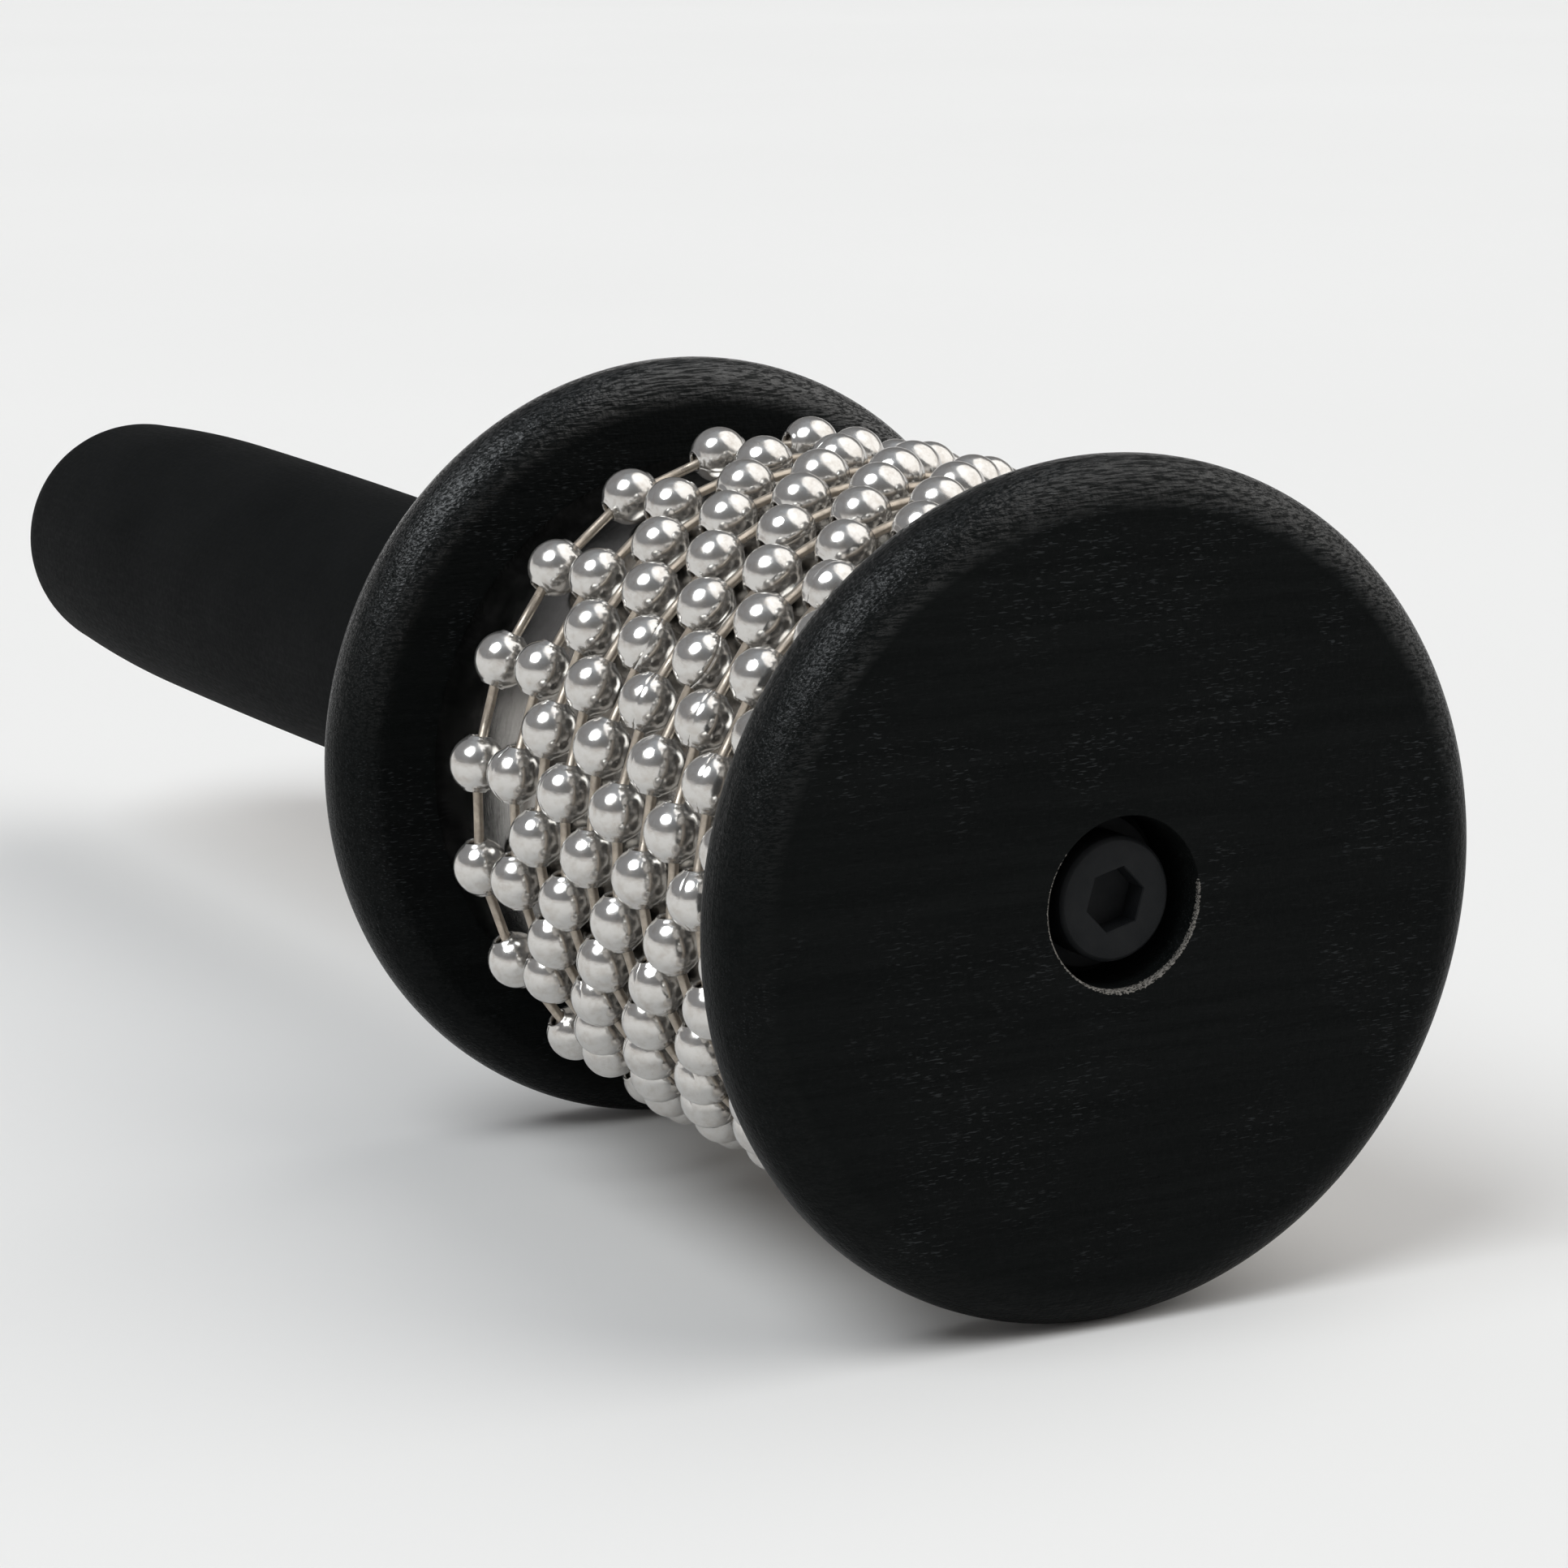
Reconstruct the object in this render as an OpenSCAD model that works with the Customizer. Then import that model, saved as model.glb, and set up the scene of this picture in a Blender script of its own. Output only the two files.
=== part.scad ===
/* [Discs] */
// Diameter of the two wooden discs
disc_d = 90; // [88:1:110]
// Thickness of each disc
disc_t = 10; // [9.8:0.1:14]
// Radius of the rounded rim of each disc
rim_r = 4.7; // [1:0.1:4.8]

/* [Drum] */
// Distance between the inner faces of the discs
drum_len = 81.5; // [80:0.5:120]
// Outer diameter of the steel sleeve
sleeve_d = 68.3; // [66:0.1:70]
// Sheet thickness of the sleeve
sleeve_t = 0.6; // [0.4:0.1:1]

/* [Bead chain] */
// Number of bead loops around the drum
loop_count = 10; // [6:1:10]
// Beads in each loop
bead_count = 20; // [16:1:22]
// Largest diameter of a bead
bead_d = 6.2; // [5:0.1:6.4]
// Length of a bead along its loop
bead_len = 6.6; // [6.4:0.1:7.2]
// Diameter of the turned-in end of a bead
bead_end_d = 2.3; // [2.2:0.1:3]
// Wall thickness of a bead
bead_wall = 0.4; // [0.3:0.05:0.5]
// Diameter of the hole in each end of a bead
bead_hole_d = 1.9; // [1.8:0.05:2]
// Diameter of a link rod
link_d = 1.3; // [1.1:0.1:1.5]
// Diameter of the round head on each end of a link
head_d = 2.4; // [2.3:0.05:2.6]
// Distance from loop to loop; their beads nest, so it may be less than a bead
loop_pitch = 6.1; // [6:0.1:6.6]
// Extra step of the last loop, which has slipped back from the rest
last_step = 3.4; // [0:0.1:4]
// Turn of the last loop out of its nested place, in degrees
last_turn = 8.5; // [0:0.1:18]
// Turn by which each loop lags behind its nested place beside the one before, in degrees
loop_drift = 0.2; // [0:0.05:0.5]
// Gap between the front disc and the first loop
front_gap = 2.4; // [0.3:0.1:3]

/* [Handle] */
// Length of the handle
handle_len = 183; // [165:1:220]
// Handle diameter where it meets the disc
handle_root_d = 31.6; // [28:0.2:34]
// Handle diameter at its widest
handle_belly_d = 36.4; // [34.2:0.2:40]
// Distance of the widest place from the disc
handle_belly_at = 135; // [90:1:140]
// Radius of the round end of the handle
handle_end_r = 17; // [12:0.5:17]
// Rounding of the edge at the handle's root
handle_root_r = 0.8; // [0.3:0.1:2]

/* [Clamp screw] */
// Thread diameter of the clamp screw
screw_d = 8; // [6:0.5:8]
// Depth to which the screw reaches into the handle
screw_bite = 15.2; // [10:0.1:19]
// Diameter of the screw head
screw_head_d = 13; // [11:0.5:13.5]
// Height of the screw head
screw_head_h = 5; // [4:0.1:5.5]
// Chamfer of the head's edge
screw_chamfer = 0.4; // [0.1:0.1:0.6]
// Hexagon socket, across its flats
socket_af = 6; // [4:0.5:6]
// Depth of the hexagon socket
socket_depth = 3; // [2:0.1:3.5]
// Turn of the socket about the screw, in degrees
socket_turn = 15.8; // [0:0.1:60]
// Depth of the head below the disc's face
head_below = 1.7; // [0.5:0.1:2]
// Diameter of the counterbore in the front disc
counterbore_d = 18; // [17:0.5:22]
// Outer diameter of the washer
washer_d = 16; // [14:0.5:16.4]
// Thickness of the washer
washer_t = 1.6; // [1:0.1:1.6]

/* [Threaded insert] */
// Outer diameter of the insert in the handle
insert_d = 12; // [10:0.5:14]
// Length of the insert
insert_len = 20; // [19:1:30]
// Diameter of the insert's flange
insert_flange_d = 15; // [14.2:0.2:18]
// Thickness of the insert's flange
insert_flange_t = 1.5; // [1:0.1:2]

/* [Hidden] */

// Clearances
sleeve_fit = 0.05;     // sleeve over the core, each side
screw_play = 0.3;      // screw through the discs and the core, each side
thread_play = 0.03;    // screw in the insert and insert in the handle, each side
net_play = 0.3;        // beads outside the sleeve
head_play = 0.3;       // link head inside its bead, along the link
tip_play = 4;          // space past the end of the insert in the handle
overrun = 1;           // how far a cut runs past the face it opens

// Smoothness
big_fn = 120;
small_fn = 48;
handle_steps = 14;     // profile steps on each side of the handle's widest place
end_steps = 12;        // profile steps on its round end

// Places along the axis, from the front face
front_top = disc_t;
rear_low = front_top + drum_len;
rear_top = rear_low + disc_t;
head_top = head_below + screw_head_h;
washer_top = head_top + washer_t;
screw_len = rear_top + screw_bite - head_top;
total_len = rear_top + handle_len;

// The core inside its sleeve
core_d = sleeve_d - 2 * sleeve_t - 2 * sleeve_fit;
screw_hole_d = screw_d + 2 * screw_play;

// The bead loops
net_r = sleeve_d / 2 + net_play + bead_d / 2;
bead_step = 360 / bead_count;
loop_low = front_top + front_gap + bead_d / 2;
loop_phase = 9.5;      // turn of the first loop about the axis, in degrees

// Half length of a bead, and the place of the round cap on each side of its middle
bead_h = bead_len / 2;
bead_cap_at = bead_h - sqrt(bead_d * bead_d - bead_end_d * bead_end_d) / 2;

// A link lies along the line from hole to hole of two neighbouring beads
link_r = net_r * cos(bead_step / 2) + bead_h * sin(bead_step / 2);
link_free = net_r * sin(bead_step / 2) - bead_h * cos(bead_step / 2);
head_seat = sqrt(head_d * head_d - bead_hole_d * bead_hole_d) / 2 + head_play;
head_at = link_free + bead_wall + head_seat;

// The handle's outline
handle_ball_at = handle_len - handle_end_r;
handle_fall = (handle_belly_d / 2 - handle_end_r) / (handle_ball_at - handle_belly_at);
handle_turn = atan(2 * handle_fall);

// Place of a loop along the axis; the last one lies a step further back
function loop_z(i) = loop_low + (i - 1) * loop_pitch + (i == loop_count ? last_step : 0);

// Neighbouring loops nest by half a bead step, and the last one is turned out of its place
function loop_turn(i) = loop_phase + (i - 1) % 2 * bead_step / 2 - (i - 1) * loop_drift
    + (i == loop_count ? last_turn : 0);

function loop_name(i, piece) = str("loop_", i < 10 ? "0" : "", i, "_", piece);

// Handle radius from its root to its widest place, and from there to its round end
function rising_r(s) = (handle_root_d + (handle_belly_d - handle_root_d) * s * (2 - s)) / 2;
function falling_r(s) = handle_belly_d / 2 - (handle_belly_d / 2 - handle_end_r) * s * s;

// Every piece is drawn about Z and laid on its side, so the part rests on both rims
module lay() {
    translate([total_len / 2, 0, disc_d / 2])
        rotate([0, -90, 0])
            children();
}

// Disc with both edges of its rim rounded
module rounded_disc() {
    rotate_extrude($fn = big_fn) {
        square([disc_d / 2 - rim_r, disc_t]);
        translate([0, rim_r])
            square([disc_d / 2, disc_t - 2 * rim_r]);
        for (y = [rim_r, disc_t - rim_r])
            translate([disc_d / 2 - rim_r, y])
                circle(r = rim_r, $fn = small_fn);
    }
}

module front_disc() {
    color([0.05, 0.05, 0.05])
    difference() {
        rounded_disc();
        translate([0, 0, -overrun])
            cylinder(d = counterbore_d, h = washer_top + overrun, $fn = small_fn);
        cylinder(d = screw_hole_d, h = disc_t + overrun, $fn = small_fn);
    }
}

module rear_disc() {
    color([0.05, 0.05, 0.05])
    translate([0, 0, rear_low])
    difference() {
        rounded_disc();
        translate([0, 0, -overrun])
            cylinder(d = screw_hole_d, h = disc_t + 2 * overrun, $fn = small_fn);
    }
}

// Wooden core, bored right through for the screw
module drum_core() {
    color([0.72, 0.55, 0.36])
    translate([0, 0, front_top])
    difference() {
        cylinder(d = core_d, h = drum_len, $fn = big_fn);
        translate([0, 0, -overrun])
            cylinder(d = screw_hole_d, h = drum_len + 2 * overrun, $fn = small_fn);
    }
}

module drum_sleeve() {
    color([0.42, 0.42, 0.43])
    translate([0, 0, front_top])
    difference() {
        cylinder(d = sleeve_d, h = drum_len, $fn = big_fn);
        translate([0, 0, -overrun])
            cylinder(d = sleeve_d - 2 * sleeve_t, h = drum_len + 2 * overrun, $fn = big_fn);
    }
}

// Low head screw with a hexagon socket, head towards the front face
module clamp_screw() {
    color([0.12, 0.12, 0.13])
    difference() {
        union() {
            rotate_extrude($fn = small_fn)
                polygon([
                    [0, head_below],
                    [screw_head_d / 2 - screw_chamfer, head_below],
                    [screw_head_d / 2, head_below + screw_chamfer],
                    [screw_head_d / 2, head_top],
                    [0, head_top]
                ]);
            translate([0, 0, head_top])
                cylinder(d = screw_d, h = screw_len, $fn = small_fn);
        }
        translate([0, 0, head_below - overrun])
            rotate([0, 0, socket_turn])
                cylinder(d = socket_af / cos(30), h = socket_depth + overrun, $fn = 6);
    }
}

module screw_washer() {
    color([0.2, 0.2, 0.21])
    translate([0, 0, head_top])
    difference() {
        cylinder(d = washer_d, h = washer_t, $fn = small_fn);
        translate([0, 0, -overrun])
            cylinder(d = screw_hole_d, h = washer_t + 2 * overrun, $fn = small_fn);
    }
}

module handle() {
    color([0.06, 0.06, 0.06])
    translate([0, 0, rear_top])
    difference() {
        rotate_extrude($fn = big_fn)
            polygon([
                [0, 0],
                [handle_root_d / 2 - handle_root_r, 0],
                [rising_r(0), handle_root_r],
                for (i = [1 : handle_steps - 1])
                    let (s = i / handle_steps)
                    [rising_r(s), handle_belly_at * s],
                for (i = [0 : handle_steps - 1])
                    let (s = i / handle_steps)
                    [falling_r(s), handle_belly_at + (handle_ball_at - handle_belly_at) * s],
                for (i = [0 : end_steps - 1])
                    let (a = handle_turn + (90 - handle_turn) * i / end_steps)
                    [handle_end_r * cos(a), handle_ball_at + handle_end_r * sin(a)],
                [0, handle_len]
            ]);
        translate([0, 0, -overrun])
            cylinder(d = insert_d + 2 * thread_play,
                     h = insert_len + tip_play + overrun, $fn = small_fn);
        translate([0, 0, -overrun])
            cylinder(d = insert_flange_d + 2 * thread_play,
                     h = insert_flange_t + overrun, $fn = small_fn);
    }
}

// Flanged sleeve that the screw bites into, set flush into the handle's root
module handle_insert() {
    color([0.75, 0.62, 0.32])
    translate([0, 0, rear_top])
    difference() {
        union() {
            cylinder(d = insert_flange_d, h = insert_flange_t, $fn = small_fn);
            cylinder(d = insert_d, h = insert_len, $fn = small_fn);
        }
        translate([0, 0, -overrun])
            cylinder(d = screw_d + 2 * thread_play, h = insert_len + 2 * overrun, $fn = small_fn);
    }
}

// Half outline of a bead, two round caps about a short waist, moved in by the amount given
module bead_outline(inset) {
    intersection() {
        union() {
            for (side = [-1, 1])
                translate([0, side * bead_cap_at])
                    circle(r = bead_d / 2 - inset, $fn = small_fn);
            translate([0, -bead_cap_at])
                square([bead_d / 2 - inset, 2 * bead_cap_at]);
        }
        translate([0, inset - bead_h])
            square([bead_d / 2, bead_len - 2 * inset]);
    }
}

// Hollow bead with a hole at each end, its axis along Z
module bead() {
    difference() {
        rotate_extrude($fn = small_fn)
            bead_outline(0);
        rotate_extrude($fn = small_fn)
            bead_outline(bead_wall);
        translate([0, 0, -bead_len])
            cylinder(d = bead_hole_d, h = 2 * bead_len, $fn = small_fn);
    }
}

// Rod with a round head at each end, its axis along Z
module link() {
    translate([0, 0, -head_at])
        cylinder(d = link_d, h = 2 * head_at, $fn = small_fn);
    for (side = [-1, 1])
        translate([0, 0, side * head_at])
            sphere(d = head_d, $fn = small_fn);
}

module bead_loop(i) {
    color([0.8, 0.78, 0.75])
    translate([0, 0, loop_z(i)])
    for (k = [0 : bead_count - 1])
        rotate([0, 0, loop_turn(i) + k * bead_step])
            translate([net_r, 0, 0])
                rotate([90, 0, 0])
                    bead();
}

module link_loop(i) {
    color([0.7, 0.66, 0.6])
    translate([0, 0, loop_z(i)])
    for (k = [0 : bead_count - 1])
        rotate([0, 0, loop_turn(i) + (k + 1 / 2) * bead_step])
            translate([link_r, 0, 0])
                rotate([90, 0, 0])
                    link();
}

lay() front_disc();
lay() clamp_screw();
lay() screw_washer();
lay() drum_core();
lay() drum_sleeve();
lay() rear_disc();
lay() handle();
lay() handle_insert();
for (i = [1 : loop_count]) {
    lay() bead_loop(i);
    lay() link_loop(i);
}
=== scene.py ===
"""A cabasa lying on its two discs: loops of bead chain round a steel sleeve, and a handle."""

import math
import random

import bpy
from mathutils import Matrix, Vector


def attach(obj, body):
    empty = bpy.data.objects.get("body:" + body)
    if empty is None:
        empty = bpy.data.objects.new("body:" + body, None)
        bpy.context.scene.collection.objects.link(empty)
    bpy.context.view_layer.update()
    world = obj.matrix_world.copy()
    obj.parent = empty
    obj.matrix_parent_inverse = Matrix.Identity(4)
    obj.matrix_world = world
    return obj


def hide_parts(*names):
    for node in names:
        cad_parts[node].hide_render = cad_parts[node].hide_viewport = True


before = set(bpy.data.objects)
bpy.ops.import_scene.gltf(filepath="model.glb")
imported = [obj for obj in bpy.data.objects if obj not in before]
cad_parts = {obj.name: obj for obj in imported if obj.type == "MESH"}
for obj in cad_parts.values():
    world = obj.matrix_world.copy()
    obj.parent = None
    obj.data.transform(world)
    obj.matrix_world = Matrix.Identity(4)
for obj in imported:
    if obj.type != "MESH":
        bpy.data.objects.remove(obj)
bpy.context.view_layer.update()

MM = 0.001

# The instrument's sizes in millimetres. Every piece is shaped about a local axis that runs from
# the front face (0) to the handle's end, with local X up.
DISC_R = 45.0
DISC_T = 10.0
RIM_R = 4.7
DRUM_LEN = 81.5
SLEEVE_R = 34.15
SLEEVE_T = 0.6
BORE_R = 4.3
COUNTERBORE_R = 9.0
COUNTERBORE_DEPTH = 8.3
HANDLE_LEN = 183.0
HANDLE_ROOT_R = 15.8
HANDLE_BELLY_R = 18.2
HANDLE_BELLY_AT = 135.0
HANDLE_END_R = 17.0
HANDLE_EDGE_R = 0.8
INSERT_R = 6.03
INSERT_DEPTH = 24.0
FLANGE_R = 7.53
FLANGE_T = 1.5
HEAD_R = 6.5
HEAD_FACE = 1.7
HEAD_BACK = 6.7
SCREW_R = 4.0
SCREW_TIP = 116.7
SCREW_TIP_BEVEL = 0.8
SOCKET_AF = 6.0
SOCKET_DEPTH = 3.0
SOCKET_TURN = math.radians(15.8)
SOCKET_BEVEL = 0.12
SLEEVE_EDGE = 0.15

# The net. A bead is a little rounder here than its solid, as in the photograph: its shell would
# close at BEAD_LONG_R and its lips end at BEAD_TIP, while the links are spaced by BEAD_H. The
# links sit LINK_DROP nearer to the sleeve than the beads' middles. Turns are in degrees.
LOOPS = 10
BEADS = 20
BEAD_R = 3.1
BEAD_LONG_R = 3.2
BEAD_H = 3.3
BEAD_TIP = 3.1
BEAD_END_R = 1.15
BEAD_WALL = 0.4
BEAD_HOLE_R = 0.95
LINK_R = 0.55
LINK_DROP = 0.38
LINK_HEAD_R = 1.2
HEAD_SEAT = 1.3
NET_R = 37.55
NET_SHIFT = 0.25
LOOP_LOW = 15.5
LOOP_PITCH = 6.1
LAST_STEP = 3.4
LOOP_PHASE = 9.5
LOOP_DRIFT = 0.2
LAST_TURN = 8.5

# The uneven set of the real net: how far a bead stands out and strays along the drum, in mm, and
# how far it leans, in radians
BEAD_RISE = 0.12
BEAD_STRAY = 0.09
BEAD_TILT = (0.02, 0.02, 0.025)

# Where the counterbore's edge is chipped: degrees from the top, spread in radians, width in mm
CHIPS = ((176, 0.60, 0.34), (258, 0.75, 0.09), (112, 0.50, 0.09))

REAR_LOW = DISC_T + DRUM_LEN
REAR_TOP = REAR_LOW + DISC_T
TOTAL_LEN = REAR_TOP + HANDLE_LEN
LAY = Matrix(((0, 0, -1, TOTAL_LEN / 2), (0, 1, 0, 0), (1, 0, 0, DISC_R), (0, 0, 0, 1)))


# Mesh helpers

def arc(x, y, r, start, end, steps):
    """Points of an arc about (x, y), its angles in degrees."""
    turns = [math.radians(start + (end - start) * i / steps) for i in range(steps + 1)]
    return [(x + r * math.cos(t), y + r * math.sin(t)) for t in turns]


def even(count, start=0.0):
    """Angles evenly spaced round a circle."""
    return [start + 2 * math.pi * i / count for i in range(count)]


def turned(outline, angles, closed=True):
    """Points and faces of an outline turned about Z. Its (r, z) may each be a number or a
    function of the angle; a point with r = 0 is a pole."""
    def value(v, t):
        return v(t) if callable(v) else v

    points, rows = [], []
    for r, z in outline:
        if not callable(r) and r == 0:
            rows.append([len(points)] * len(angles))
            points.append(Vector((0, 0, value(z, 0))))
            continue
        rows.append(range(len(points), len(points) + len(angles)))
        for t in angles:
            radius = value(r, t)
            points.append(Vector((radius * math.cos(t), radius * math.sin(t), value(z, t))))
    faces = []
    pairs = list(zip(rows, rows[1:])) + ([(rows[-1], rows[0])] if closed else [])
    for low, high in pairs:
        for j in range(len(angles)):
            k = (j + 1) % len(angles)
            corners = []
            for c in (low[j], low[k], high[k], high[j]):
                if c not in corners:
                    corners.append(c)
            if len(corners) > 2:
                faces.append(corners)
    return points, faces


def piece(name, points, faces, looks, node, body, sharp=38, fields=None):
    """Makes a mesh object from local points in millimetres, laid into the part's frame, in place
    of a node. Edges of more than sharp degrees stay sharp; fields are values for each point."""
    mesh = bpy.data.meshes.new(name)
    mesh.from_pydata([(LAY @ p) * MM for p in points], [], faces)
    for field, values in (fields or {}).items():
        kind = "FLOAT_VECTOR" if hasattr(values[0], "__len__") else "FLOAT"
        made = mesh.attributes.new(field, kind, "POINT")
        if kind == "FLOAT":
            made.data.foreach_set("value", values)
        else:
            made.data.foreach_set("vector", [c for v in values for c in v])
    mesh.validate()
    mesh.polygons.foreach_set("use_smooth", [True] * len(mesh.polygons))
    mesh.set_sharp_from_angle(angle=math.radians(sharp))
    mesh.materials.append(looks)
    made = bpy.data.objects.new(name, mesh)
    bpy.context.scene.collection.objects.link(made)
    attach(made, body)
    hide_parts(node)


# Material helpers

def add(tree, kind, inputs=None, **settings):
    """A new shader node; an input may be a value or a socket to link from."""
    made = tree.nodes.new("ShaderNode" + kind)
    for key, value in settings.items():
        setattr(made, key, value)
    for key, value in (inputs or {}).items():
        if isinstance(value, bpy.types.NodeSocket):
            tree.links.new(value, made.inputs[key])
        else:
            made.inputs[key].default_value = value
    return made


def material(name, **inputs):
    """A new material and its tree and shader. Inputs that are plain values sit on the shader."""
    made = bpy.data.materials.new(name)
    made.use_nodes = True
    tree = made.node_tree
    shader = tree.nodes["Principled BSDF"]
    for key, value in inputs.items():
        shader.inputs[key.replace("_", " ")].default_value = value
    return made, tree, shader


def wire(tree, shader, **sockets):
    for key, value in sockets.items():
        tree.links.new(value, shader.inputs[key.replace("_", " ")])


def noise(tree, place, scale, detail, roughness, distortion=0.0):
    """Noise that is scaled along each axis by itself."""
    scaled = add(tree, "Mapping", {"Vector": place, "Scale": scale}).outputs["Vector"]
    made = add(tree, "TexNoise", {"Vector": scaled, "Scale": 1.0, "Detail": detail,
                                  "Roughness": roughness, "Distortion": distortion})
    return made.outputs["Fac"]


def ramp(tree, fac, stops):
    """Colour ramp; a stop is (place, colour)."""
    made = add(tree, "ValToRGB", {"Fac": fac})
    elements = made.color_ramp.elements
    while len(elements) < len(stops):
        elements.new(0.5)
    for element, (place, colour) in zip(elements, stops):
        element.position = place
        element.color = (*colour, 1)
    return made.outputs["Color"]


def spread(tree, fac, low, high, start=0.0, end=1.0):
    """The value from start to end, spread over low to high and held at both."""
    made = add(tree, "MapRange", {"Value": fac, "From Min": start, "From Max": end,
                                  "To Min": low, "To Max": high})
    return made.outputs["Result"]


def math_node(tree, operation, a, b=0.0, clamp=False):
    made = add(tree, "Math", {0: a, 1: b}, operation=operation, use_clamp=clamp)
    return made.outputs["Value"]


def mixed(tree, fac, a, b):
    """Colour between a and b. The node's colour sockets have no name of their own."""
    colours = {6: a, 7: b}
    for key, value in colours.items():
        if not isinstance(value, bpy.types.NodeSocket):
            colours[key] = (*value, 1)
    return add(tree, "Mix", {"Factor": fac, **colours}, data_type="RGBA").outputs[2]


def bump(tree, height, distance, strength=1.0, normal=None):
    inputs = {"Height": height, "Distance": distance, "Strength": strength}
    if normal is not None:
        inputs["Normal"] = normal
    return add(tree, "Bump", inputs).outputs["Normal"]


def axis_distance(tree, place):
    """Distance of a point from the instrument's axis, in metres."""
    moved = add(tree, "VectorMath", {0: place, 1: (0, 0, -DISC_R * MM)}, operation="ADD")
    flat = add(tree, "VectorMath", {0: moved.outputs["Vector"], 1: (0, 1, 1)},
               operation="MULTIPLY")
    length = add(tree, "VectorMath", {0: flat.outputs["Vector"]}, operation="LENGTH")
    return length.outputs["Value"]


# Materials

def lacquered_wood(name, face_roughness, rim_roughness, rim_coat):
    """Black lacquer over turned wood: fine pores along Y, raw fibres at wear, and a glossier rim
    whose coat thins towards the bottom, painted shade that dims the lower rim's reflection."""
    looks, tree, shader = material(name, Specular_IOR_Level=0.03, Coat_Roughness=0.09)
    place = add(tree, "TexCoord").outputs["Object"]
    pores = noise(tree, place, (4200, 330, 4200), 3.0, 0.6)
    long_grain = noise(tree, place, (700, 26, 700), 4.0, 0.6)
    skin = noise(tree, place, (1500, 1500, 1500), 2.0, 0.5)
    dashes = noise(tree, place, (6500, 900, 6500), 1.0, 0.5)
    patches = noise(tree, place, (70, 70, 70), 2.0, 0.5)
    wear = add(tree, "Attribute", attribute_name="wear").outputs["Fac"]
    fibres = noise(tree, place, (6500, 3000, 6500), 3.0, 0.7)
    raw = math_node(tree, "GREATER_THAN", math_node(tree, "MULTIPLY", wear,
                    spread(tree, fibres, 0.1, 1.5, 0.35, 0.65)), 0.5)

    tone = ramp(tree, long_grain, [(0.35, (0.0036, 0.0043, 0.0042)),
                                   (0.65, (0.0054, 0.0062, 0.0061))])
    tone = mixed(tree, spread(tree, pores, 0, 0.6, 0.60, 0.72), tone, (0.0078, 0.0086, 0.0086))
    tone = mixed(tree, spread(tree, pores, 0, 0.7, 0.40, 0.30), tone, (0.0022, 0.0026, 0.0026))
    dashes = math_node(tree, "MULTIPLY", spread(tree, dashes, 0, 1, 0.62, 0.70),
                       spread(tree, patches, 0.1, 1, 0.48, 0.62))
    tone = mixed(tree, dashes, tone, (0.024, 0.026, 0.027))
    fibre_tone = ramp(tree, fibres, [(0.35, (0.04, 0.037, 0.034)), (0.65, (0.30, 0.285, 0.26))])
    tone = mixed(tree, raw, tone, fibre_tone)

    rim = spread(tree, axis_distance(tree, place), 0, 1, 0.0398, 0.0412)
    gloss = spread(tree, rim, face_roughness, rim_roughness)
    gloss = math_node(tree, "ADD", gloss, spread(tree, pores, -0.04, 0.06, 0.3, 0.7))
    gloss = math_node(tree, "MAXIMUM", gloss, math_node(tree, "MULTIPLY", raw, 0.9), clamp=True)
    upper = add(tree, "SeparateXYZ", {"Vector": place}).outputs["Z"]
    # The coat thins towards the bottom (object Z): painted shade that dims the lower rim's
    # reflection.
    coat = math_node(tree, "MULTIPLY", spread(tree, rim, 0.0, rim_coat),
                     spread(tree, upper, 0.10, 1.0, 0.048, 0.076))
    coat = math_node(tree, "MULTIPLY", coat, spread(tree, pores, 1.0, 0.10, 0.44, 0.57))
    coat = math_node(tree, "MULTIPLY", coat, math_node(tree, "SUBTRACT", 1.0, raw), clamp=True)

    rings = noise(tree, place, (3600, 170, 170), 3.0, 0.6)
    height = math_node(tree, "ADD", pores, math_node(tree, "MULTIPLY", skin, 1.2))
    height = math_node(tree, "ADD", height, math_node(tree, "MULTIPLY", rings, 0.9))
    normal = bump(tree, fibres, 0.0003, raw, bump(tree, height, 0.00010))
    wire(tree, shader, Base_Color=tone, Roughness=gloss, Coat_Weight=coat, Normal=normal,
         Coat_Normal=normal)
    return looks


def handle_paint():
    """Matte black lacquer on turned wood, its grain along the handle."""
    looks, tree, shader = material("matte_black_handle", Specular_IOR_Level=0.02)
    place = add(tree, "TexCoord").outputs["Object"]
    grain = noise(tree, place, (110, 2200, 2200), 4.0, 0.6)
    skin = noise(tree, place, (1400, 1400, 1400), 3.0, 0.55)
    cloud = noise(tree, place, (60, 60, 60), 3.0, 0.5)
    tone = ramp(tree, cloud, [(0.3, (0.0062, 0.0067, 0.0068)), (0.7, (0.0088, 0.0093, 0.0094))])
    tone = mixed(tree, spread(tree, grain, 0, 0.5, 0.6, 0.75), tone, (0.013, 0.0135, 0.0137))
    gloss = math_node(tree, "ADD", spread(tree, skin, 0.60, 0.74, 0.3, 0.7),
                      spread(tree, grain, -0.04, 0.05, 0.3, 0.7))
    height = math_node(tree, "ADD", math_node(tree, "MULTIPLY", grain, 0.7),
                       math_node(tree, "MULTIPLY", skin, 0.6))
    wire(tree, shader, Base_Color=tone, Roughness=gloss, Normal=bump(tree, height, 0.00005))
    return looks


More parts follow.
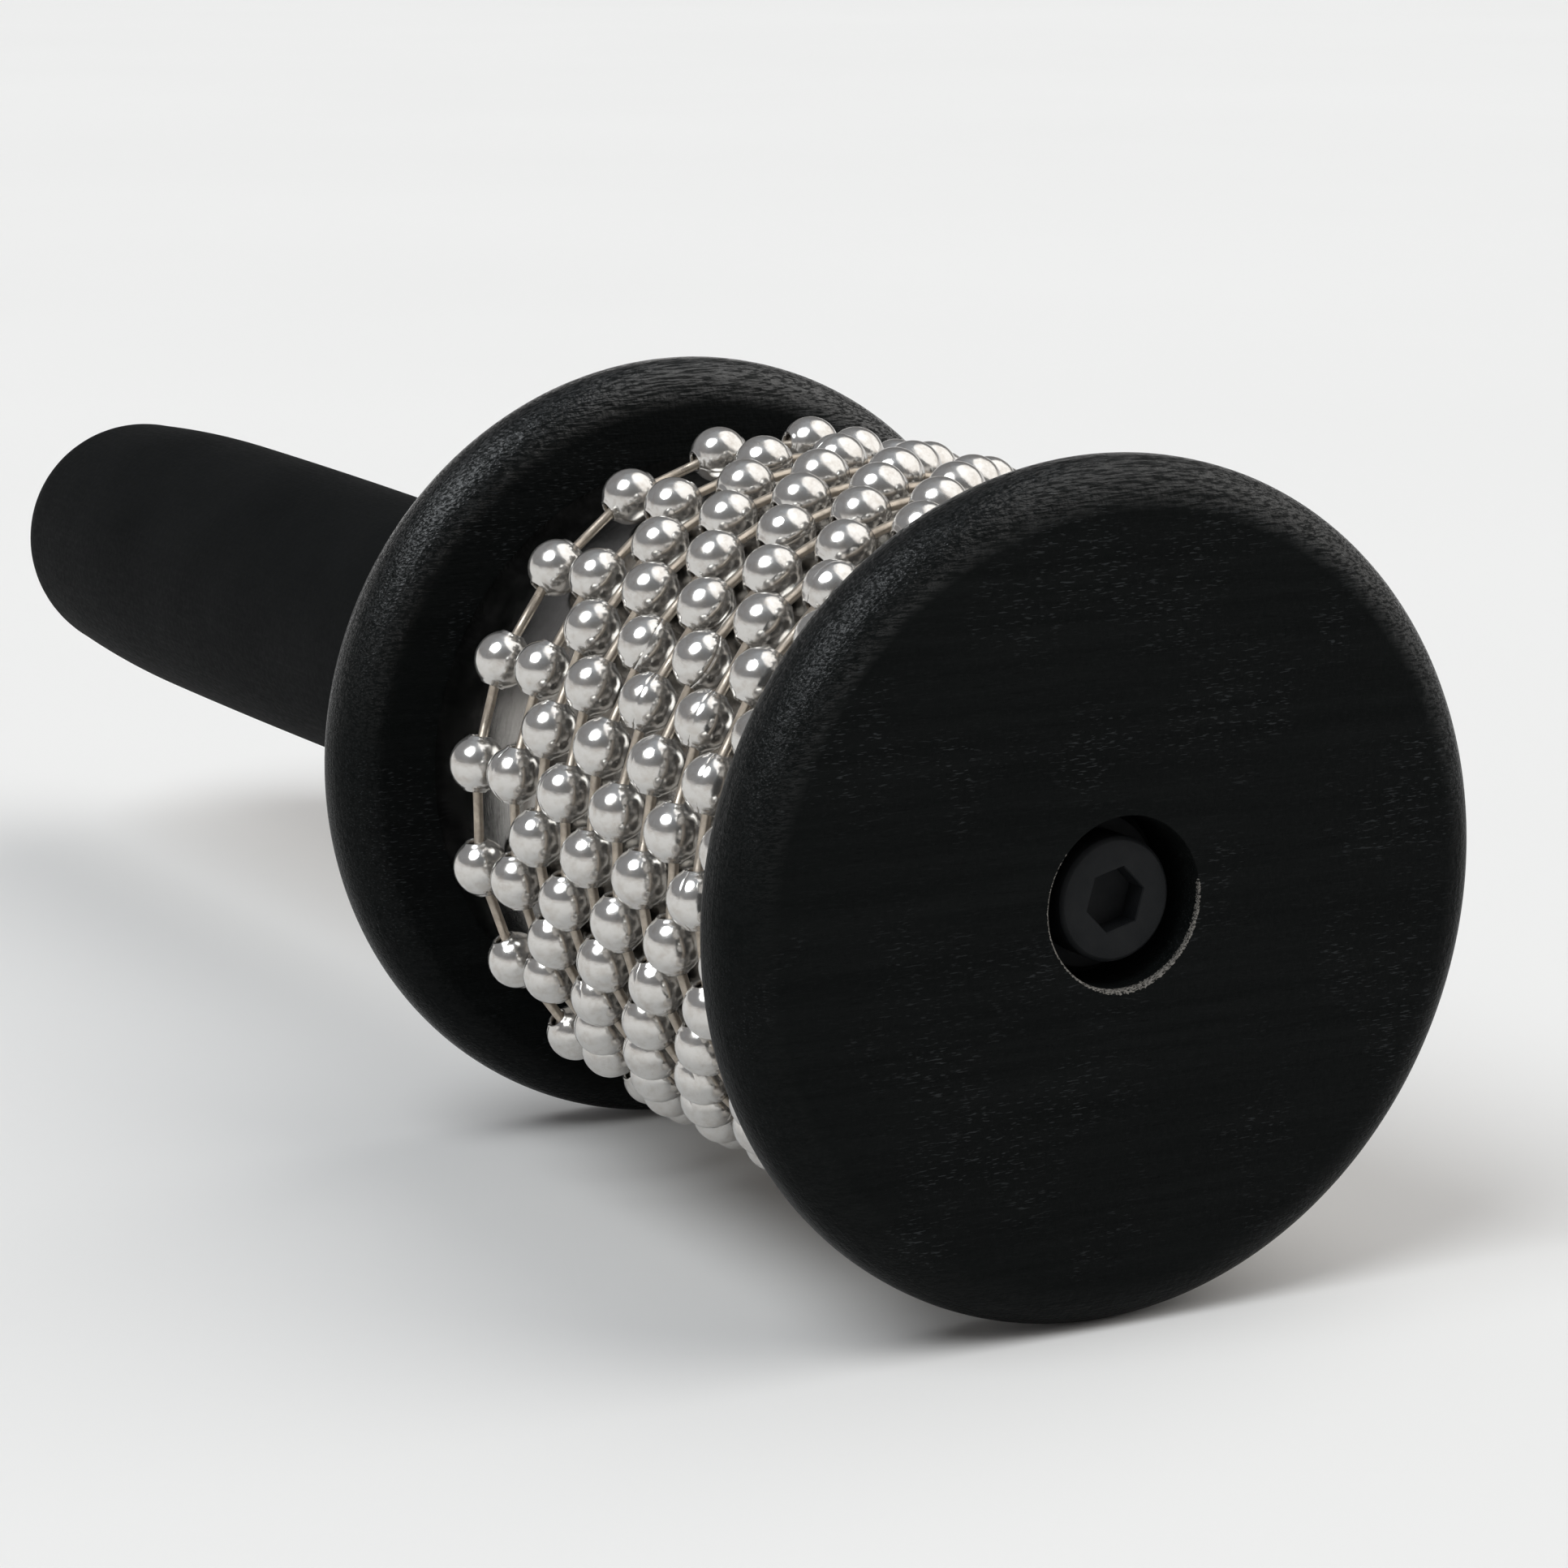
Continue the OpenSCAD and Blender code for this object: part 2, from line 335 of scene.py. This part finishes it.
def plated(name, colour, dull, rough, scratch):
    """Nickel plate with fine scratches round each bead or link, shallow dents and tarnish."""
    looks, tree, shader = material(name, Metallic=0.88)
    place = add(tree, "Attribute", attribute_name="own_place").outputs["Vector"]
    rings = noise(tree, place, (0.35, 0.35, 7.0), 4.0, 0.7)
    fine = noise(tree, place, (1.2, 1.2, 16.0), 2.0, 0.6)
    dents = noise(tree, place, (0.5, 0.5, 0.5), 2.0, 0.5)
    stains = noise(tree, place, (0.9, 0.9, 0.9), 5.0, 0.65)
    tone = mixed(tree, spread(tree, stains, 0, 1, 0.45, 0.72), colour, dull)
    gloss = math_node(tree, "ADD", spread(tree, stains, rough * 0.75, rough * 1.7, 0.35, 0.7),
                      spread(tree, fine, -0.03, 0.05, 0.3, 0.7))
    height = math_node(tree, "ADD", rings, math_node(tree, "MULTIPLY", fine, 0.5))
    normal = bump(tree, height, scratch, 1.0, bump(tree, dents, 0.00007))
    wire(tree, shader, Base_Color=tone, Roughness=gloss, Normal=normal)
    return looks


def sleeve_steel():
    """Rolled steel sheet, polished by the beads: fine lines round the drum and faint stains."""
    looks, tree, shader = material("sleeve_steel", Metallic=1.0)
    place = add(tree, "TexCoord").outputs["Object"]
    lines = noise(tree, place, (9000, 260, 260), 3.0, 0.6)
    stains = noise(tree, place, (160, 160, 160), 5.0, 0.65)
    tone = ramp(tree, stains, [(0.35, (0.36, 0.345, 0.325)), (0.7, (0.48, 0.465, 0.44))])
    gloss = spread(tree, stains, 0.12, 0.24, 0.35, 0.7)
    wire(tree, shader, Base_Color=tone, Roughness=gloss, Normal=bump(tree, lines, 0.00001))
    return looks


def black_steel():
    """Black oxide on machined steel, with a fine pitted grain."""
    looks, tree, shader = material("black_oxide_steel", Specular_IOR_Level=0.10)
    place = add(tree, "TexCoord").outputs["Object"]
    pits = noise(tree, place, (5200, 5200, 5200), 3.0, 0.65)
    cloud = noise(tree, place, (420, 420, 420), 3.0, 0.5)
    tone = ramp(tree, cloud, [(0.3, (0.0075, 0.0085, 0.0095)), (0.7, (0.0115, 0.0122, 0.0130))])
    gloss = spread(tree, pits, 0.42, 0.62, 0.3, 0.7)
    wire(tree, shader, Base_Color=tone, Roughness=gloss, Normal=bump(tree, pits, 0.00003))
    return looks


def plain_wood():
    """Turned hardwood of the core, its grain along the drum."""
    looks, tree, shader = material("core_wood", Roughness=0.6)
    place = add(tree, "TexCoord").outputs["Object"]
    rings = noise(tree, place, (12, 160, 160), 4.0, 0.55, 1.2)
    pores = noise(tree, place, (220, 3000, 3000), 3.0, 0.6)
    tone = ramp(tree, rings, [(0.35, (0.42, 0.27, 0.14)), (0.65, (0.60, 0.42, 0.25))])
    tone = mixed(tree, spread(tree, pores, 0, 0.6, 0.58, 0.7), tone, (0.25, 0.15, 0.08))
    wire(tree, shader, Base_Color=tone, Normal=bump(tree, pores, 0.00004))
    return looks


def insert_brass():
    """Machined brass with fine turning lines."""
    looks, tree, shader = material("insert_brass", Metallic=1.0)
    place = add(tree, "TexCoord").outputs["Object"]
    lines = noise(tree, place, (6000, 200, 200), 3.0, 0.6)
    tone = ramp(tree, lines, [(0.3, (0.58, 0.42, 0.16)), (0.7, (0.72, 0.55, 0.24))])
    gloss = spread(tree, lines, 0.24, 0.4)
    wire(tree, shader, Base_Color=tone, Roughness=gloss, Normal=bump(tree, lines, 0.00001))
    return looks


# Camera, at the photograph's viewing angle

camera_data = bpy.data.cameras.new("camera")
camera_data.sensor_width = 36
camera_data.lens = 109.19
camera_data.clip_start = 0.01
camera = bpy.data.objects.new("camera", camera_data)
camera.location = (0.53381, -0.25554, 0.15621)
looking = Vector((-0.85625, 0.47303, -0.20755))
camera.rotation_mode = "QUATERNION"
camera.rotation_quaternion = (-looking).to_track_quat("Z", "Y")
bpy.context.scene.collection.objects.link(camera)
bpy.context.scene.camera = camera


# Light: two soft round sources and a dim room with a pale horizon

bpy.context.scene.view_settings.view_transform = "Standard"


def soft_sun(name, direction, strength, width, colour):
    """A sun that shines from a direction and is some degrees wide."""
    data = bpy.data.lights.new(name, "SUN")
    data.energy = strength
    data.angle = math.radians(width)
    data.color = colour
    lamp = bpy.data.objects.new(name, data)
    lamp.rotation_mode = "QUATERNION"
    lamp.rotation_quaternion = Vector(direction).to_track_quat("Z", "Y")
    bpy.context.scene.collection.objects.link(lamp)


soft_sun("key_light", (0.14, -0.56, 0.815), 1.8, 38, (0.93, 0.97, 1.0))
soft_sun("side_light", (0.20, 0.66, 0.72), 1.8, 80, (1.0, 0.98, 0.95))

world = bpy.data.worlds.new("studio")
bpy.context.scene.world = world
world.use_nodes = True
sky = world.node_tree
direction = add(sky, "TexCoord").outputs["Generated"]
height = add(sky, "SeparateXYZ", {"Vector": direction}).outputs["Z"]
room = ramp(sky, height, [(0.0, (0.80, 0.79, 0.78)), (0.10, (0.80, 0.79, 0.78)),
                          (0.20, (0.15, 0.145, 0.142)), (0.50, (0.14, 0.14, 0.143)),
                          (0.80, (0.20, 0.21, 0.225)), (0.94, (0.42, 0.45, 0.49))])
# A soft grey wall on the -Y side, above the horizon
left = add(sky, "VectorMath", {0: direction, 1: (-0.45, -0.85, 0.25)}, operation="DOT_PRODUCT")
wall = math_node(sky, "MULTIPLY", spread(sky, left.outputs["Value"], 0.0, 1.0, 0.1, 0.85),
                 spread(sky, height, 0.0, 1.0, 0.13, 0.30))
room = mixed(sky, wall, room, (0.24, 0.24, 0.25))
sky.links.new(room, sky.nodes["Background"].inputs["Color"])

floor_paint, tree, shader = material("floor_paint", Roughness=0.75, Specular_IOR_Level=0.2)
place = add(tree, "TexCoord").outputs["Object"]
cloud = noise(tree, place, (3, 3, 3), 3.0, 0.5)
tone = ramp(tree, cloud, [(0.3, (0.80, 0.79, 0.775)), (0.7, (0.815, 0.805, 0.79))])
wire(tree, shader, Base_Color=tone)
floor_mesh = bpy.data.meshes.new("floor")
reach = 30
floor_mesh.from_pydata([(-reach, -reach, 0), (reach, -reach, 0), (reach, reach, 0),
                        (-reach, reach, 0)], [], [(0, 1, 2, 3)])
floor_mesh.materials.append(floor_paint)
floor = bpy.data.objects.new("floor", floor_mesh)
bpy.context.scene.collection.objects.link(floor)


# Front disc

def rims(low):
    """Outline of a disc's two rounded rims, its face at low."""
    return (arc(DISC_R - RIM_R, low + RIM_R, RIM_R, -90, 0, 16)
            + arc(DISC_R - RIM_R, low + DISC_T - RIM_R, RIM_R, 0, 90, 16))


front_lacquer = lacquered_wood("front_lacquer", 0.55, 0.34, 0.6)
rear_lacquer = lacquered_wood("rear_lacquer", 0.36, 0.28, 1.0)

chip_rng = random.Random(7)
chip_waves = [(chip_rng.randint(9, 140), chip_rng.uniform(0, 2 * math.pi)) for _ in range(26)]


def chip_width(t):
    """Width of the chipped edge at an angle from the top: wide below, thin at both sides."""
    width = sum(size * math.exp(-(math.remainder(t - math.radians(at), 2 * math.pi) / wide) ** 2)
                for at, wide, size in CHIPS)
    ripple = sum(math.sin(n * t + p) for n, p in chip_waves) / len(chip_waves)
    return 0.04 + width * (1 + 1.3 * ripple) + 0.03 * abs(ripple)


def chip_wear(t):
    """How far the lacquer is gone there, from 0 to 1."""
    return min(1.0, max(0.0, (chip_width(t) - 0.055) / 0.03))


front_outline = [
    (BORE_R, DISC_T), (BORE_R, COUNTERBORE_DEPTH), (COUNTERBORE_R, COUNTERBORE_DEPTH),
    (COUNTERBORE_R, 5.0), (COUNTERBORE_R, 2.0), (COUNTERBORE_R, 1.0),
    (COUNTERBORE_R, lambda t: 1.15 * chip_width(t)),
    (lambda t: COUNTERBORE_R + 0.22 * chip_width(t + 0.02), lambda t: 0.62 * chip_width(t)),
    (lambda t: COUNTERBORE_R + 0.70 * chip_width(t), lambda t: 0.20 * chip_width(t + 0.03)),
    (lambda t: COUNTERBORE_R + 1.1 * chip_width(t), 0.0),
    (lambda t: COUNTERBORE_R + 1.1 * chip_width(t) + 0.12, 0.0),
    (COUNTERBORE_R + 1.2, 0.0), (16, 0.0), (28, 0.0), (38, 0.0),
    *rims(0), (34.0, DISC_T), (20.0, DISC_T),
]
chipped_points = range(6, 10)
front_angles = even(512)
points, faces = turned(front_outline, front_angles)
wear = [chip_wear(t) if i in chipped_points else 0.0
        for i in range(len(front_outline)) for t in front_angles]
piece("front_disc_turned", points, faces, front_lacquer, "front_disc", "drum",
      50, {"wear": wear})


# Rear disc

rear_outline = [
    (BORE_R, REAR_TOP), (BORE_R, REAR_LOW), (20, REAR_LOW), (34, REAR_LOW),
    *rims(REAR_LOW), (34, REAR_TOP), (20, REAR_TOP),
]
points, faces = turned(rear_outline, even(320))
piece("rear_disc_turned", points, faces, rear_lacquer, "rear_disc", "drum",
      50, {"wear": [0.0] * len(points)})


# Handle, with its bore for the threaded insert

def handle_outline():
    """From the bore out over the root, up to the belly, and down to the round end."""
    ball_at = HANDLE_LEN - HANDLE_END_R
    swell = HANDLE_BELLY_R - HANDLE_ROOT_R
    fall = HANDLE_BELLY_R - HANDLE_END_R
    turn = math.degrees(math.atan(2 * fall / (ball_at - HANDLE_BELLY_AT)))
    made = [(0, INSERT_DEPTH), (INSERT_R, INSERT_DEPTH), (INSERT_R, FLANGE_T),
            (FLANGE_R, FLANGE_T), (FLANGE_R, 0)]
    made += arc(HANDLE_ROOT_R - HANDLE_EDGE_R, HANDLE_EDGE_R, HANDLE_EDGE_R, -90, 0, 6)
    for s in (i / 40 for i in range(1, 40)):
        made.append((HANDLE_ROOT_R + swell * s * (2 - s), HANDLE_BELLY_AT * s))
    for s in (i / 20 for i in range(20)):
        made.append((HANDLE_BELLY_R - fall * s * s,
                     HANDLE_BELLY_AT + (ball_at - HANDLE_BELLY_AT) * s))
    made += arc(0, ball_at, HANDLE_END_R, turn, 90, 24)[:-1]
    made.append((0, HANDLE_LEN))
    return [(r, z + REAR_TOP) for r, z in made]


points, faces = turned(handle_outline(), even(160), closed=False)
piece("handle_turned", points, faces, handle_paint(), "handle", "drum")


# Sleeve

sleeve_outline = [
    (SLEEVE_R - SLEEVE_T, DISC_T), (SLEEVE_R - SLEEVE_EDGE, DISC_T),
    (SLEEVE_R, DISC_T + SLEEVE_EDGE),
    *[(SLEEVE_R, DISC_T + DRUM_LEN * i / 12) for i in range(1, 12)],
    (SLEEVE_R, REAR_LOW - SLEEVE_EDGE), (SLEEVE_R - SLEEVE_EDGE, REAR_LOW),
    (SLEEVE_R - SLEEVE_T, REAR_LOW),
]
points, faces = turned(sleeve_outline, even(256))
piece("drum_sleeve_rolled", points, faces, sleeve_steel(), "drum_sleeve", "drum")


# Clamp screw: socket with a fine bevel, head with a bevel that is a little rounded at its ends

def socket_r(t):
    """Radius of the hexagon at an angle about the screw."""
    off = (t - SOCKET_TURN) % (math.pi / 3) - math.pi / 6
    return SOCKET_AF / 2 / math.cos(off)


socket_end = HEAD_FACE + SOCKET_DEPTH
screw_outline = [
    (0, socket_end), (2.4, socket_end - 0.25), (socket_r, socket_end - 0.3),
    (socket_r, HEAD_FACE + 0.14), (lambda t: socket_r(t) + SOCKET_BEVEL, HEAD_FACE),
    (5.0, HEAD_FACE), (HEAD_R - 0.46, HEAD_FACE), (HEAD_R - 0.38, HEAD_FACE + 0.04),
    (HEAD_R - 0.04, HEAD_FACE + 0.38), (HEAD_R, HEAD_FACE + 0.46),
    (HEAD_R, HEAD_FACE + 1.5), (HEAD_R, HEAD_FACE + 3), (HEAD_R, HEAD_BACK - 0.1),
    (HEAD_R - 0.1, HEAD_BACK), (SCREW_R, HEAD_BACK), (SCREW_R, SCREW_TIP - SCREW_TIP_BEVEL),
    (SCREW_R - SCREW_TIP_BEVEL, SCREW_TIP), (0, SCREW_TIP),
]
black_metal = black_steel()
points, faces = turned(screw_outline, even(96, SOCKET_TURN), closed=False)
piece("clamp_screw_turned", points, faces, black_metal, "clamp_screw", "drum", 30)


# Bead chain

def bead_form():
    """Points and faces of one hollow bead about local Z: an almost round shell with turned-in
    ends and the seam where its sheet meets."""
    lip_r = BEAD_END_R + 0.28
    end = math.asin(math.sqrt(1 - (lip_r / BEAD_R) ** 2))
    turns = [end * i / 12 for i in range(-12, 13)]
    outer = [(BEAD_R * math.cos(a), BEAD_LONG_R * math.sin(a)) for a in turns]
    lip = [(BEAD_END_R + 0.12, BEAD_TIP - 0.03), (BEAD_END_R - 0.04, BEAD_TIP),
           (BEAD_HOLE_R, BEAD_TIP - 0.12)]
    inner = [((BEAD_R - BEAD_WALL) * math.cos(a), (BEAD_LONG_R - BEAD_WALL) * math.sin(a))
             for a in turns[::-4]]
    inner = [(BEAD_HOLE_R, BEAD_TIP - BEAD_WALL), *inner, (BEAD_HOLE_R, BEAD_WALL - BEAD_TIP)]
    outline = [(r, -z) for r, z in reversed(lip)] + outer + lip + inner
    seam = math.radians(1.3)
    angles = [-seam, 0.0, seam] + [2 * math.pi * i / 34 for i in range(1, 34)]

    def groove(r, z):
        """The radius, pressed in along the seam, more so towards the ends."""
        depth = 0.030 + 0.09 * (abs(z) / BEAD_TIP) ** 4
        return lambda t: r - (depth if t == 0.0 else 0)

    skin = len(lip) * 2 + len(outer)
    shaped = [(groove(r, z), z) if i < skin else (r, z) for i, (r, z) in enumerate(outline)]
    return turned(shaped, angles)


def link_form(half):
    """Rod with two round heads about local Z, its head centres at half to each side."""
    join = math.degrees(math.asin(LINK_R / LINK_HEAD_R))
    low = arc(0, -half, LINK_HEAD_R, -90, 90 - join, 8)
    high = arc(0, half, LINK_HEAD_R, join - 90, 90, 8)
    outline = [(0, low[0][1])] + low[1:] + [(LINK_R, 0)] + high[:-1] + [(0, high[-1][1])]
    return turned(outline, even(18), closed=False)


def loop_z(i):
    """Place of a loop along the drum."""
    return LOOP_LOW + (i - 1) * LOOP_PITCH + (LAST_STEP if i == LOOPS else 0)


def loop_turn(i):
    """Angle of a loop's first bead: every second loop stands half a bead further round."""
    turn = LOOP_PHASE + (i - 1) % 2 * 180 / BEADS - (i - 1) * LOOP_DRIFT
    return turn + (LAST_TURN if i == LOOPS else 0)


def standing(direction):
    """Rotation that turns local Z to a direction."""
    return direction.to_track_quat("Z", "X").to_matrix().to_4x4()


def bead_places(i):
    """Centre and direction of each bead of a loop."""
    places = []
    for k in range(BEADS):
        t = math.radians(loop_turn(i) + k * 360 / BEADS)
        out = Vector((math.cos(t), math.sin(t), 0))
        round_way = Vector((math.sin(t), -math.cos(t), 0))
        centre = out * (NET_R + rng.uniform(0, BEAD_RISE))
        centre.y += NET_SHIFT
        centre.z = loop_z(i) + rng.gauss(0, BEAD_STRAY)
        tilt = Vector([rng.gauss(0, amount) for amount in BEAD_TILT])
        places.append((centre, (round_way + tilt).normalized()))
    return places


def place_bead(places, k):
    """Points, faces and place of bead k, turned at random about its own axis."""
    centre, way = places[k]
    spin = Matrix.Rotation(rng.uniform(0, 2 * math.pi), 4, "Z")
    return bead_points, bead_faces, Matrix.Translation(centre) @ standing(way) @ spin


def place_link(places, k):
    """Points, faces and place of the link between bead k and the one before it."""
    (centre, way), (other, other_way) = places[k], places[k - 1]
    start = centre + way * BEAD_H
    end = other - other_way * BEAD_H
    half = (end - start).length / 2 + BEAD_WALL + HEAD_SEAT
    middle = (start + end) / 2
    middle -= Vector((middle.x, middle.y, 0)).normalized() * LINK_DROP
    return (*link_form(half), Matrix.Translation(middle) @ standing((end - start).normalized()))


bead_plate = plated("nickel_beads", (0.66, 0.645, 0.62), (0.54, 0.505, 0.465), 0.14, 0.000005)
# The links' nickel is darker and browner than the beads': painted shade and painted warm
# reflection from between the beads.
link_plate_painted_shade = plated("nickel_links_painted_shade", (0.48, 0.42, 0.35), (0.36, 0.31, 0.255), 0.34, 0.000008)
bead_points, bead_faces = bead_form()
rng = random.Random(20)

for i in range(1, LOOPS + 1):
    places = bead_places(i)
    for place_one, made, kind, looks, lift in (
            (place_bead, "bead_shells", "bead", bead_plate, 0),
            (place_link, "link_rods", "link", link_plate_painted_shade, 900)):
        points, faces, own = [], [], []
        for k in range(BEADS):
            one_points, one_faces, move = place_one(places, k)
            first = len(points)
            points += [move @ p for p in one_points]
            faces += [[c + first for c in f] for f in one_faces]
            shift = Vector((40 * k, 300 * i, lift))
            own += [tuple(p + shift) for p in one_points]
        piece(f"loop_{i:02d}_{made}", points, faces, looks, f"loop_{i:02d}_{kind}s",
              f"loop_{i:02d}", 60, {"own_place": own})


# Pieces that stay as they are, with their finish

for node, looks in (("screw_washer", black_metal), ("drum_core", plain_wood()),
                    ("handle_insert", insert_brass())):
    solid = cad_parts[node]
    solid.data.materials.clear()
    solid.data.materials.append(looks)
